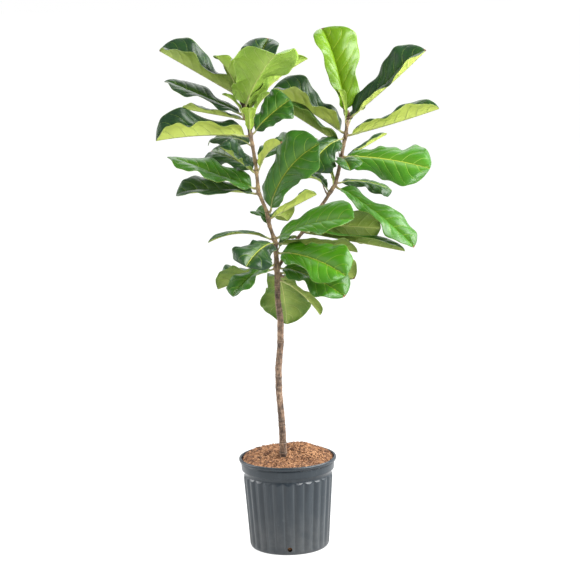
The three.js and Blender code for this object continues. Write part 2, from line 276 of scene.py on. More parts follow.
rib_ends = np.linspace(rib_top - 0.018, rib_top + 0.002, 21)
for height in (*lower_ribs, *rib_ends):
    slope = height / rib_top
    skin.append((foot_radius + (rib_top_radius - foot_radius) * slope, height, 1))
for out, drop in band_and_lip:
    skin.append((rim_radius - lip_reach + out, pot_height + drop, 0))
inner_top = rib_top_radius - rib_depth - wall
inner_foot = foot_radius - rib_depth - wall
for share in np.linspace(0.94, 0.06, 12):
    skin.append((inner_foot + (inner_top - inner_foot) * share, rib_top * share, 0))
skin.append((inner_foot - 0.004, 0.0042, 0))
skin.append((inner_foot * 0.6, 0.0038, 0))
skin.append((inner_foot * 0.2, 0.0038, 0))

steps_per_rib = 16
steps = rib_count * steps_per_rib
turns = np.arange(steps) * 2 * math.pi / steps
profile = np.array(skin)
radii = np.repeat(profile[:, :1], steps, axis=1)
heights = np.repeat(profile[:, 1:2], steps, axis=1)
ring_points = np.stack([radii * np.cos(turns), radii * np.sin(turns), heights], axis=-1)
numbers = np.arange(len(profile) * steps).reshape(len(profile), steps)
faces = closed_grid(numbers, around=True).tolist() + end_caps(numbers)
pot = new_piece("nursery_pot", ring_points.reshape(-1, 3).tolist(), faces, [plastic])
ribbed = pot.data.attributes.new("ribbed", "FLOAT", "POINT")
ribbed.data.foreach_set("value", np.repeat(profile[:, 2], steps))

ribs = bpy.data.node_groups.new("ribs", "GeometryNodeTree")
ribs.interface.new_socket("Geometry", in_out="INPUT", socket_type="NodeSocketGeometry")
ribs.interface.new_socket("Geometry", in_out="OUTPUT", socket_type="NodeSocketGeometry")
rib_inputs = {}
for label, amount in (
    ("Ribs", rib_count), ("Depth", rib_depth), ("Top", rib_top), ("Foot", 0.007), ("Finish", None),
):
    kind = "NodeSocketMaterial" if amount is None else "NodeSocketFloat"
    socket = ribs.interface.new_socket(label, in_out="INPUT", socket_type=kind)
    rib_inputs[label] = (socket.identifier, plastic if amount is None else amount)
geo = Wire(ribs)
start = geo.node("NodeGroupInput")
given = {
    label: Wire(ribs, start.socket.node.outputs[label]) for label in (*rib_inputs, "Geometry")
}
east, north, level = geo.node("GeometryNodeInputPosition").axes()
angle = geo.sum_node("ARCTAN2", north, east)
reach = geo.sum_node("SQRT", east * east + north * north)
swell = geo.sum_node("SINE", angle * given["Ribs"] / 2)
swell = geo.sum_node("SQRT", swell * swell + 0.012).least(1.0)
fade = (level / given["Foot"] - 1.0).most(0.0).least(1.0)
valley = (1 - swell) * fade * given["Depth"]
shoulder = (level - given["Top"]) / 0.0105 + 1.0
shoulder = shoulder.step(0.0, 1.0) * given["Depth"]
is_ribbed = geo.node(
    "GeometryNodeInputNamedAttribute", {"data_type": "FLOAT"}, {"Name": "ribbed"},
)
pull = valley.most(shoulder) * is_ribbed / reach
shift = geo.node("ShaderNodeCombineXYZ", None, {"X": -1 * (east * pull), "Y": -1 * (north * pull)})
moved = geo.node("GeometryNodeSetPosition", None, {"Geometry": given["Geometry"], "Offset": shift})
moved = geo.node("GeometryNodeRealizeInstances", None, {"Geometry": moved})
painted = geo.node("GeometryNodeSetMaterial", None, {
    "Geometry": moved, "Material": given["Finish"],
})
geo.node("NodeGroupOutput", None, {"Geometry": painted})
modifier = pot.modifiers.new("ribs", "NODES")
modifier.node_group = ribs
for identifier, amount in rib_inputs.values():
    modifier[identifier] = float(amount) if isinstance(amount, int) else amount
bake_modifiers(pot)

drill = bmesh.new()
tilt = Matrix.Rotation(math.radians(90), 4, "X")
centre = Matrix.Translation((0, -foot_radius, hole_height))
for quarter in range(4):
    spin = Matrix.Rotation(2 * math.pi * quarter / 4, 4, "Z")
    bmesh.ops.create_cone(
        drill, cap_ends=True, segments=32, radius1=hole_radius, radius2=hole_radius, depth=0.024,
        matrix=spin @ centre @ tilt,
    )
drill_tool = piece_from(drill, "drain_drill")
cut = pot.modifiers.new("drain_holes", "BOOLEAN")
cut.operation = "DIFFERENCE"
cut.solver = "EXACT"
cut.object = drill_tool
bake_modifiers(pot)
bpy.data.objects.remove(drill_tool)
pot.data.shade_smooth()
pot.data.set_sharp_from_angle(angle=math.radians(50))
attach(pot, "root")
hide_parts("pot")

# ---------- Potting mix ----------
# Composted bark and coir, filled nearly to the lip and heaped at the back right.
# The body of it is one closed lump, with loose chips and fibres lying on top.

mix, wire, place = new_finish("coir_and_bark")
lumps = wire.noise(place, 70, 5, 0.65)
crumbs = wire.node("ShaderNodeTexVoronoi", None, {"Vector": place, "Scale": 210.0})
specks = wire.noise(place, 260, 4, 0.7)
earth = (lumps * 0.55 + specks * 0.45).ramp(
    (0.28, (0.075, 0.034, 0.016)), (0.42, (0.22, 0.105, 0.045)),
    (0.58, (0.42, 0.21, 0.095)), (0.75, (0.60, 0.34, 0.17)),
)
earth = (specks.step(0.6, 0.68) * 0.7).blend(earth, (0.72, 0.46, 0.26, 1))
earth = ((1 - specks.step(0.34, 0.44)) * 0.8).blend(earth, (0.05, 0.022, 0.012, 1))
earth = ((1 - lumps.step(0.36, 0.44)) * 0.6).blend(earth, (0.10, 0.038, 0.018, 1))
rough = 0.85 + specks * 0.12
close_finish(wire, earth, rough, lumps * 0.6 + crumbs * 0.5 + specks * 0.4, 0.003)

chip_finish, wire, place = new_finish("bark_chip")
hue = wire.noise(place, 120, 4, 0.6)
fibres = wire.noise(place, 500, 3, 0.6)
chip_colour = (hue * 0.5 + fibres * 0.2 + wire.noise(place, 32, 3, 0.6) * 0.3).ramp(
    (0.40, (0.024, 0.010, 0.006)), (0.48, (0.120, 0.048, 0.021)),
    (0.57, (0.29, 0.135, 0.058)), (0.68, (0.52, 0.29, 0.14)),
)
close_finish(wire, chip_colour, 0.8 + fibres * 0.15, fibres, 0.0006)

mix_low, mix_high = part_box("potting_mix")
mix_radius = (mix_high.x - mix_low.x) / 2
mix_edge = mix_high.z - 0.0145
heap_east, heap_north, heap_rise, heap_spread = 0.036, 0.058, 0.0235, 0.058
back_rise = 0.0125


def ripple(x, y, size, seed):
    """Smooth made-up unevenness between about -1 and 1 over a level surface."""
    dice = np.random.default_rng(seed)
    total = np.zeros_like(x)
    for wave in range(14):
        way, phase = dice.uniform(0, 2 * math.pi, 2)
        pitch = 2 * math.pi / (size * dice.uniform(0.6, 1.7))
        total += np.sin(pitch * (x * math.cos(way) + y * math.sin(way)) + phase)
    return total / 4.6


def mix_level(x, y):
    """Height of the top of the potting mix."""
    spread = np.exp(-((x - heap_east) ** 2 + (y - heap_north) ** 2) / heap_spread ** 2)
    inside_wall = 1 - np.clip(np.hypot(x, y) / mix_radius, 0, 1) ** 4
    towards_back = np.clip(y / mix_radius + 0.20, 0, 1.20) / 1.20
    level = mix_edge + heap_rise * spread * inside_wall + back_rise * towards_back
    lumps = 0.0016 * ripple(x, y, 0.040, 3) + 0.0011 * ripple(x, y, 0.013, 4)
    return level + inside_wall * lumps + 0.0006 * ripple(x, y, 0.0060, 5) - 0.0008


rings = 84
spokes = 300
ring_shares = np.linspace(1, 0.004, rings)
turns = np.arange(spokes) * 2 * math.pi / spokes
x = np.outer(ring_shares * mix_radius, np.cos(turns))
y = np.outer(ring_shares * mix_radius, np.sin(turns))
top_points = np.stack([x, y, mix_level(x, y)], axis=-1)
mix_floor = 0.0046
clear_of_wall = 0.0016
lower = []
for share, height in (
    (0.2, mix_floor), (0.98, mix_floor),
    (1.0, rib_top * 0.5), (1.0, rib_top * 0.96), (1.0, rib_top * 1.07),
):
    wall_there = inner_foot + (inner_top - inner_foot) * height / rib_top - clear_of_wall
    ring = wall_there * share * np.cos(turns), wall_there * share * np.sin(turns)
    lower.append(np.stack([*ring, turns * 0 + height], axis=-1))
mix_points = np.concatenate([np.array(lower), top_points])
numbers = np.arange(mix_points.shape[0] * spokes).reshape(-1, spokes)
faces = closed_grid(numbers, around=True).tolist() + end_caps(numbers)
soil = new_piece("potting_mix_body", mix_points.reshape(-1, 3).tolist(), faces, [mix])
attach(soil, "root")
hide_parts("potting_mix")


def shard(name, length, width, thick, bend, sides):
    """One small splinter, pointed at both ends and a little curved."""
    along = np.linspace(-1, 1, 5)
    points = []
    for share in along:
        girth = 0.35 + 0.65 * (1 - share * share)
        for side in range(sides):
            turn = 2 * math.pi * side / sides
            points.append((
                share * length / 2, math.cos(turn) * width / 2 * girth,
                math.sin(turn) * thick / 2 * girth - bend * share * share,
            ))
    numbers = np.arange(len(points)).reshape(len(along), sides)
    faces = closed_grid(numbers, around=True).tolist() + end_caps(numbers)
    piece = new_piece(name, points, faces, [chip_finish])
    piece.data.shade_flat()
    return piece


def scatter(name, ground, part, density, smallest, largest, seed, tip, finish):
    """Lays copies of a part over the top of a ground mesh, so many to the square metre."""
    tree = bpy.data.node_groups.new(name, "GeometryNodeTree")
    tree.interface.new_socket("Geometry", in_out="INPUT", socket_type="NodeSocketGeometry")
    tree.interface.new_socket("Geometry", in_out="OUTPUT", socket_type="NodeSocketGeometry")
    kinds = {
        "Density": ("NodeSocketFloat", density), "Smallest": ("NodeSocketFloat", smallest),
        "Largest": ("NodeSocketFloat", largest), "Seed": ("NodeSocketInt", seed),
        "Tip": ("NodeSocketFloat", tip), "Part": ("NodeSocketObject", part),
        "Lowest": ("NodeSocketFloat", mix_edge - 0.004),
        "Finish": ("NodeSocketMaterial", finish),
    }
    keys = {}
    for label, (kind, _) in kinds.items():
        keys[label] = tree.interface.new_socket(label, in_out="INPUT", socket_type=kind).identifier
    geo = Wire(tree)
    start = geo.node("NodeGroupInput").socket.node
    given = {label: Wire(tree, start.outputs[label]) for label in [*kinds, "Geometry"]}
    level = geo.node("GeometryNodeInputPosition").axes()[2]
    above = geo.node("FunctionNodeCompare", {"operation": "GREATER_THAN"}, {
        0: level, 1: given["Lowest"],
    })
    dots = geo.node("GeometryNodeDistributePointsOnFaces", None, {
        "Mesh": given["Geometry"], "Selection": above,
        "Density": given["Density"], "Seed": given["Seed"],
    }).socket.node
    low_tip, whole_turn = -1 * given["Tip"], 6.283
    spin = geo.node("FunctionNodeRandomValue", {"data_type": "FLOAT_VECTOR"}, {
        0: geo.node("ShaderNodeCombineXYZ", None, {"X": low_tip, "Y": low_tip}),
        1: geo.node("ShaderNodeCombineXYZ", None, {
            "X": given["Tip"], "Y": given["Tip"], "Z": whole_turn,
        }),
        "Seed": given["Seed"],
    })
    size = geo.node("FunctionNodeRandomValue", {"data_type": "FLOAT"}, {
        2: given["Smallest"], 3: given["Largest"], "Seed": given["Seed"] + 7,
    }, out=1)
    whole = geo.node("GeometryNodeObjectInfo", None, {"Object": given["Part"]}, out="Geometry")
    laid = geo.node("GeometryNodeInstanceOnPoints", None, {
        "Points": Wire(tree, dots.outputs["Points"]), "Instance": whole,
        "Rotation": spin, "Scale": size,
    })
    laid = geo.node("GeometryNodeRealizeInstances", None, {"Geometry": laid})
    laid = geo.node("GeometryNodeSetMaterial", None, {
        "Geometry": laid, "Material": given["Finish"],
    })
    geo.node("NodeGroupOutput", None, {"Geometry": laid})
    piece = new_object(name, ground.data.copy())
    modifier = piece.modifiers.new(name, "NODES")
    modifier.node_group = tree
    for label, (_, amount) in kinds.items():
        modifier[keys[label]] = amount
    bake_modifiers(piece)
    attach(piece, "root")


flake = shard("flake_part", 0.0095, 0.0052, 0.0022, 0.0004, 6)
fibre = shard("fibre_part", 0.017, 0.0009, 0.0009, 0.0014, 4)
crumb = shard("crumb_part", 0.0042, 0.0034, 0.0028, 0.0, 6)
scatter("bark_flakes", soil, flake, 13000.0, 0.45, 1.35, 11, 0.5, chip_finish)
scatter("coir_fibres", soil, fibre, 16000.0, 0.4, 1.2, 12, 0.4, chip_finish)
scatter("mix_crumbs", soil, crumb, 34000.0, 0.35, 1.1, 13, 3.0, chip_finish)
for part in (flake, fibre, crumb):
    bpy.data.objects.remove(part)

# ---------- Stem ----------
# One grown piece: a straight leader and one side branch. Grey-brown bark with a
# ring at every old leaf scar, turning smooth and tan on the young wood on top.

bark, wire, place = new_finish("bark")
age = wire.read("old_wood")
scar = wire.read("scar")
flakes = wire.noise(place, 170, 5, 0.65, (1, 1, 0.35))
patches = wire.noise(place, 38, 4, 0.6)
dots = wire.node("ShaderNodeTexVoronoi", None, {"Vector": place, "Scale": 330.0})
lenticels = 1 - dots.step(0.10, 0.24)
old = (flakes * 0.6 + patches * 0.4).ramp(
    (0.36, (0.028, 0.018, 0.013)), (0.46, (0.095, 0.062, 0.044)),
    (0.56, (0.24, 0.152, 0.097)), (0.68, (0.46, 0.33, 0.225)),
)
young = (flakes * 0.4 + patches * 0.6).ramp(
    (0.38, (0.040, 0.024, 0.014)), (0.47, (0.17, 0.105, 0.052)),
    (0.56, (0.33, 0.235, 0.115)), (0.66, (0.46, 0.33, 0.10)),
)
skin_colour = age.blend(young, old)
skin_colour = (lenticels * 0.35).blend(skin_colour, (0.46, 0.38, 0.28, 1))
pale_edge = (scar * (1 - scar) * 4).least(1.0) * age
skin_colour = (pale_edge * 0.18).blend(skin_colour, (0.52, 0.40, 0.29, 1))
dark_ring = (scar * 2.2 - 0.9).least(1.0).most(0.0)
skin_colour = (dark_ring * 0.85).blend(skin_colour, (0.022, 0.013, 0.010, 1))
roughness = 0.62 + age * 0.16 + flakes * 0.15
close_finish(wire, skin_colour, roughness, flakes * 0.7 + lenticels * 0.4 + scar * -0.5, 0.0012)

stem_mesh = bmesh.new()
stem_mesh.from_mesh(frame["nodes"]["stem"].data)
bmesh.ops.remove_doubles(stem_mesh, verts=stem_mesh.verts, dist=0.00002)
stem = piece_from(stem_mesh, "tree_stem")
edges = np.array([edge.vertices[:] for edge in stem.data.edges])
corners = np.array([vertex.co[:] for vertex in stem.data.vertices])


fork_height = 0.78
fork_gap = 0.009


def wood_centres(edges, corners):
    """Middles of the leader and of the side branch, level by level."""
    leader, branch = [], []
    for level in np.arange(corners[:, 2].min() + 0.002, corners[:, 2].max() - 0.001, 0.004):
        ends = corners[edges]
        above = ends[:, :, 2] > level
        ends = ends[above[:, 0] != above[:, 1]]
        share = (level - ends[:, 0, 2]) / (ends[:, 1, 2] - ends[:, 0, 2])
        cuts = ends[:, 0] + share[:, None] * (ends[:, 1] - ends[:, 0])
        cuts = cuts[np.argsort(cuts[:, 0])]
        gaps = np.diff(cuts[:, 0])
        parts = [cuts]
        if level > fork_height and gaps.max() > fork_gap:
            parts = np.split(cuts, [int(np.argmax(gaps)) + 1])
        for wood, part in zip((leader, branch), parts):
            wood.append(np.append((part.min(0) + part.max(0))[:2] / 2, level))
    return np.array(leader), np.array(branch)


leader, branch = wood_centres(edges, corners)
remesh = stem.modifiers.new("even_skin", "REMESH")
remesh.mode = "VOXEL"
remesh.voxel_size = 0.0014
bake_modifiers(stem)
smooth = stem.modifiers.new("even_out", "SMOOTH")
smooth.factor = 0.5
smooth.iterations = 9
bake_modifiers(stem)


def lengths_along(line):
    """Distance from the start of a line to each of its points."""
    return np.append(0, np.cumsum(np.linalg.norm(np.diff(line, axis=0), axis=1)))


def run_along(centres, points):
    """Distance of each point up the wood, and its distance from the middle of the wood."""
    lengths = lengths_along(centres)
    levels = centres[:, 2]

    def at_level(table):
        return np.stack([np.interp(points[:, 2], levels, column) for column in table.T], axis=1)

    ahead = np.gradient(centres, axis=0)
    ahead /= np.linalg.norm(ahead, axis=1)[:, None]
    ahead = at_level(ahead)
    offset = points - at_level(centres)
    lift = (offset * ahead).sum(1)
    side = np.linalg.norm(offset - lift[:, None] * ahead, axis=1)
    return np.interp(points[:, 2], levels, lengths) + lift, side


leaf_nodes = [name for name in sorted(frame["nodes"]) if name.startswith("leaf_")]
leaf_feet = {}
for name in leaf_nodes:
    points = np.array([vertex.co[:] for vertex in frame["nodes"][name].data.vertices])
    reach = np.full(len(points), 9.0)
    wood = leader if name.startswith("leaf_left") else branch
    for middle in wood:
        reach = np.minimum(reach, np.linalg.norm(points - middle, axis=1))
    leaf_feet[name] = points[reach < reach.min() + 0.0025].mean(0)

count = len(stem.data.vertices)
points = np.zeros(count * 3)
stem.data.vertices.foreach_get("co", points)
points = points.reshape(-1, 3)
normals = np.zeros(count * 3)
stem.data.vertices.foreach_get("normal", normals)
normals = normals.reshape(-1, 3)
push = np.zeros(count)
scars = np.zeros(count)
old_wood = np.zeros(count)
on_leader, side_leader = run_along(leader, points)
on_branch, side_branch = run_along(branch, points)
beside = np.interp(points[:, 2], branch[:, 2], branch[:, 0], left=9, right=9)
is_branch = (side_branch < side_leader) & (beside < 9)
around = np.arctan2(points[:, 1], points[:, 0])
dice = np.random.default_rng(21)
for centres, run, mask, prefix in (
    (leader, on_leader, ~is_branch, "leaf_left"), (branch, on_branch, is_branch, "leaf_right"),
):
    feet = np.array([foot for name, foot in leaf_feet.items() if name.startswith(prefix)])
    levels, _ = run_along(centres, feet)
    nodes_at = list(np.sort(levels))
    bare_top = nodes_at[0]
    place_at = 0.055
    while prefix == "leaf_left" and place_at < bare_top - 0.008:
        nodes_at.append(place_at)
        place_at += dice.uniform(0.013, 0.030)
    end = run[mask].max()
    for where in nodes_at:
        away = run - where
        turn = dice.uniform(0, 2 * math.pi)
        ring = np.exp(-(away / 0.0021) ** 2)
        swell = np.exp(-((away + 0.001) / 0.0050) ** 2)
        strength = dice.uniform(0.5, 1.0)
        push += mask * (swell * 0.0013 * strength - ring * 0.0007 * strength)
        scars = np.maximum(scars, mask * ring * strength * (0.7 + 0.3 * np.cos(around * 2 + turn)))
    if prefix == "leaf_right":
        fade = 0.85 - 0.55 * np.clip(run / end, 0, 1)
    else:
        fade = 1 - np.clip((run - bare_top + 0.02) / 0.18, 0, 1)
        fade = np.maximum(fade, 0.9 * np.clip((run - end + 0.20) / 0.12, 0, 1))
    old_wood = np.where(mask, fade, old_wood)
for foot in leaf_feet.values():
    gap = np.linalg.norm(points - foot, axis=1)
    push += 0.0013 * np.exp(-(gap / 0.0065) ** 2)
    scars = np.maximum(scars, 0.75 * np.exp(-(gap / 0.0075) ** 2))
knots = (
    (-0.018, -0.008, 0.620), (-0.006, -0.006, 0.555), (-0.014, -0.008, 0.452),
    (-0.004, -0.007, 0.372),
)
for knot in knots:
    gap = np.linalg.norm(points - np.array(knot), axis=1)
    push += 0.0030 * np.exp(-(gap / 0.0050) ** 2)
    scars = np.maximum(scars, 0.8 * np.exp(-(gap / 0.0030) ** 2))
lumps = 0.5 * ripple(points[:, 2], points[:, 0] + points[:, 1], 0.03, 31)
push += 0.00045 * lumps + 0.0002 * ripple(points[:, 2], points[:, 0] - points[:, 1], 0.007, 32)
points = points + normals * push[:, None]
stem.data.vertices.foreach_set("co", points.ravel())
stem.data.update()
for label, values in (("scar", scars), ("old_wood", old_wood)):
    attribute = stem.data.attributes.new(label, "FLOAT", "POINT")
    attribute.data.foreach_set("value", values)
stem.data.materials.clear()
stem.data.materials.append(bark)
stem.data.shade_smooth()
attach(stem, "root")
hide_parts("stem")

# Thin brown sheaths of the buds, dried and still stuck beside the youngest leaves.
sheathed = 11
sheaths = bmesh.new()
for prefix, wood in (("leaf_left", leader), ("leaf_right", branch)):
    feet = [foot for name, foot in leaf_feet.items() if name.startswith(prefix)]
    for foot in sorted(feet, key=lambda foot: foot[2])[-sheathed:]:
        middle = wood[np.argmin(np.linalg.norm(wood - foot, axis=1))]
        out = foot - middle
        out = out / max(np.linalg.norm(out), 0.001)
        turn = dice.uniform(0.9, 1.7) * dice.choice([-1, 1])
        out = np.array([
            out[0] * math.cos(turn) - out[1] * math.sin(turn),
            out[0] * math.sin(turn) + out[1] * math.cos(turn), 0.0,
        ])
        lean = Vector((out[0], out[1], dice.uniform(0.9, 2.2))).normalized()
        tall = dice.uniform(0.013, 0.025)
        start = Vector(middle + out * 0.0045) + lean * tall * 0.42
        turned = lean.to_track_quat("Z", "Y").to_matrix().to_4x4()
        flat = Matrix.Diagonal((1.0, 0.45, 1.0, 1.0))
        bmesh.ops.create_cone(
            sheaths, cap_ends=True, segments=10, radius1=0.0042, radius2=0.0003, depth=tall,
            matrix=Matrix.Translation(start) @ turned @ flat,
        )
dry_sheaths = piece_from(sheaths, "dry_sheaths")
papery, wire, place = new_finish("papery_sheath")
grain = wire.noise(place, 400, 4, 0.6, (1, 1, 0.2))
brown = grain.blend((0.040, 0.022, 0.014, 1), (0.26, 0.155, 0.085, 1))
close_finish(wire, brown, 0.7 + grain * 0.2, grain, 0.0006)
dry_sheaths.data.materials.append(papery)
dry_sheaths.data.shade_smooth()
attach(dry_sheaths, "root")

# ---------- Leaves ----------
# Each leaf is one blade on its own stalk, violin shaped: lobed at the foot, waisted,
# and broad at the tip. Leathery and waxy on top, paler and duller underneath, with a
# stout midrib and veins that stand out below. The stalk grows from the bark.


def vein_masks(wire):
    """Masks of the midrib, side veins and fine net, and three of a blade's own numbers."""
    across, run, along, offset = map(wire.read, ("across", "vein_run", "along", "offset"))
    midrib_half = 0.0016 - along * 0.0011
    midrib = 1 - (offset / midrib_half).step(0.75, 1.25)
    line = 0.5 - abs(wire.sum_node("FRACT", run) - 0.5)
    thin = 0.036 - across * 0.024
    side = (1 - (line / thin).step(0.5, 1.3)) * (1 - across.step(0.80, 0.97))
    grid = wire.node("ShaderNodeCombineXYZ", None, {"X": across * 6, "Y": run * 2.2, "Z": along})
    cells = wire.node("ShaderNodeTexVoronoi", {"feature": "DISTANCE_TO_EDGE"}, {
        "Vector": grid, "Scale": 1.6, "Randomness": 0.8,
    })
    net = 1 - cells.step(0.01, 0.09)
    return midrib, side, net, across, wire.read("tone_and_light"), wire.read("blemish")


def leaf_finish(name, shades, vein, rib, veil, gloss, relief, glow):
    """A blade's finish. Shades are its dark and its light green, veil is how well the fine
    net of veins shows, and glow is the share of light that comes through."""
    finish, wire, place = new_finish(name)
    midrib, side, net, across, tone_and_light, blemish = vein_masks(wire)
    clouds = wire.noise(place, 26, 4, 0.6)
    flecks = wire.noise(place, 130, 4, 0.65)
    # The tone lightens or darkens the green: partly the leaf's own colour, partly painted light
    # and shade.
    shade = (tone_and_light + (clouds - 0.5) * 0.6 + (0.5 - across) * 0.22).least(1.0).most(0.0)
    colour = shade.blend((*shades[0], 1), (*shades[1], 1))
    halo = 1 - across.step(0.0, 0.35)
    colour = (halo * 0.16 + side * 0.12).blend(colour, (*vein, 1))
    colour = (net * veil).blend(colour, (*vein, 1))
    colour = (side * (0.30 + tone_and_light * 0.45)).blend(colour, (*vein, 1))
    colour = (midrib * 0.95).blend(colour, (*rib, 1))
    # Painted highlight: a pale rim along the blade's margin stands in for glare on the leaf edge.
    margin_highlight = across.step(0.965, 1.0)
    colour = (margin_highlight * 0.35).blend(colour, (*vein, 1))
    colour = (flecks.step(0.70, 0.78) * 0.12).blend(colour, (0.20, 0.13, 0.04, 1))
    dry = (blemish * 1.5 + (flecks - 0.5) * 0.9).step(0.5, 0.75)
    colour = dry.blend(colour, (0.23, 0.125, 0.05, 1))
    roughness = gloss + clouds * 0.12 + flecks * 0.06 + dry * 0.25 + side * 0.05
    height = midrib * relief + side * relief * 0.8 + net * relief * 0.15 + flecks * 0.04
    bump = wire.node("ShaderNodeBump", None, {"Height": height, "Distance": 0.0010})
    shader = wire.node("ShaderNodeBsdfPrincipled", None, {
        "Base Color": colour, "Roughness": roughness, "Normal": bump, "Specular IOR Level": 0.42,
    })
    seen_through = tuple(dark * 0.5 + light * 0.5 for dark, light in zip(*shades))
    lit = wire.node("ShaderNodeBsdfTranslucent", None, {
        "Color": (*seen_through, 1), "Normal": bump,
    })
    mixed = wire.node("ShaderNodeMixShader", None, {0: glow, 1: shader, 2: lit})
    wire.node("ShaderNodeOutputMaterial", None, {"Surface": mixed})
    return finish


mature_top = leaf_finish(
    "mature_top", ((0.011, 0.040, 0.015), (0.050, 0.205, 0.002)),
    (0.30, 0.48, 0.05), (0.58, 0.64, 0.09), 0.05, 0.23, -0.8, 0.09)
mature_under = leaf_finish(
    "mature_under", ((0.090, 0.190, 0.018), (0.68, 0.80, 0.15)),
    (0.62, 0.74, 0.22), (0.74, 0.78, 0.28), 0.08, 0.40, 1.7, 0.20)
young_top = leaf_finish(
    "young_top", ((0.040, 0.125, 0.004), (0.20, 0.37, 0.002)),
    (0.46, 0.58, 0.05), (0.74, 0.70, 0.06), 0.06, 0.23, -0.8, 0.12)
young_under = leaf_finish(
    "young_under", ((0.12, 0.27, 0.018), (0.52, 0.74, 0.10)),
    (0.74, 0.88, 0.28), (0.80, 0.84, 0.28), 0.08, 0.38, 1.7, 0.20)

stalk_finish, wire, place = new_finish("leaf_stalk")
grain = wire.noise(place, 150, 4, 0.6)
green = grain.blend((0.30, 0.36, 0.10, 1), (0.46, 0.50, 0.20, 1))
corky = (1 - (wire.read("along") + (grain - 0.5) * 0.35).step(0.05, 0.40)) * 0.8
colour = corky.blend(green, (0.20, 0.12, 0.055, 1))
close_finish(wire, colour, 0.42 + grain * 0.2, grain, 0.0005)


def cage_of(node):
    """A leaf's twelve rings of six points from foot to tip, with its two end points."""
    shape = bmesh.new()
    shape.from_mesh(node.data)
    bmesh.ops.remove_doubles(shape, verts=shape.verts, dist=0.00002)
    near = [{edge.other_vert(vert).index for edge in vert.link_edges} for vert in shape.verts]
    co = np.array([vert.co[:] for vert in shape.verts])
    turns = [[vert.index for vert in face.verts] for face in shape.faces]
    shape.free()
    beyond = {}
    for face in turns:
        for corner in range(3):
            beyond[(face[corner], face[corner - 2])] = face[corner - 1]

    def rings_below(end):
        """The rings found by walking away from an end, or None from the wrong end."""
        after = {}
        for face in turns:
            if end in face:
                corner = face.index(end)
                after[face[corner - 1]] = face[corner - 2]
        ring = [next(iter(after))]
        while len(ring) < len(after):
            ring.append(after[ring[-1]])
        rings, seen = [], {end}
        while len(ring) == 6:
            seen.update(ring)
            third = [beyond.get((ring[side], ring[(side + 1) % 6])) for side in range(6)]
            shared = [side for side in range(6) if third[side - 1] == third[side]]
            if len(rings) == 11:
                rings.append(ring)
                return rings
            if len(shared) != 1 or None in third:
                return None
            turn = shared[0]
            ring = ring[turn:] + ring[:turn]
            third = third[turn:] + third[:turn]
            rings.append(ring)
            lone = near[ring[3]] - seen - set(third)
            if len(lone) != 1:
                return None
            ring = [*third[:3], lone.pop(), *third[3:5]]
        return None

    for end, around in enumerate(near):
        rings = rings_below(end) if len(around) == 6 else None
        if rings:
            break
    rings = np.array(rings)[::-1][:, [0, 5, 4, 3, 2, 1]]
    foot = (set(range(len(co))) - set(rings.ravel().tolist()) - {end}).pop()
    return co[rings], co[foot], co[end]


def spline(at, values, where):
    """A smooth curve through values, read at each of where."""
    values = np.asarray(values, float)
    slopes = np.gradient(values, at, axis=0)
    spot = np.clip(np.searchsorted(at, where, side="right") - 1, 0, len(at) - 2)
    width = (at[spot + 1] - at[spot])[:, None]
    t = (where - at[spot])[:, None] / width
    return (
        (2 * t ** 3 - 3 * t ** 2 + 1) * values[spot]
        + (t ** 3 - 2 * t ** 2 + t) * width * slopes[spot]
        + (3 * t ** 2 - 2 * t ** 3) * values[spot + 1]
        + (t ** 3 - t ** 2) * width * slopes[spot + 1]
    )


def unit(vectors):
    return vectors / np.maximum(np.linalg.norm(vectors, axis=-1, keepdims=True), 1e-9)


full_length = 0.21


def margins_of(cage, tip):
    """A blade's midrib line and both margins from stalk to tip, and its widest half."""
    blade = cage[3:].copy()
    ribs_at = (blade[:, 1] + blade[:, 2]) / 2
    stalk_end = cage[0].mean(0) * 0.35 + cage[1].mean(0) * 0.65
    blade[0] = ribs_at[0] + (blade[0] - ribs_at[0]) * 2.45
    blade[1] = ribs_at[1] + (blade[1] - ribs_at[1]) * 1.18
    shoulder_at = ribs_at[0] * 0.45 + stalk_end * 0.55
    shoulders = shoulder_at + (blade[0] - ribs_at[0]) * 0.72
    line = np.concatenate([[stalk_end], [shoulder_at], ribs_at, [tip]])
    margins = [
        np.concatenate([[stalk_end], [shoulders[side]], blade[:, side], [tip]]) for side in (0, 3)
    ]
    return line, margins, np.linalg.norm(blade[:, 0] - ribs_at, axis=1).max()


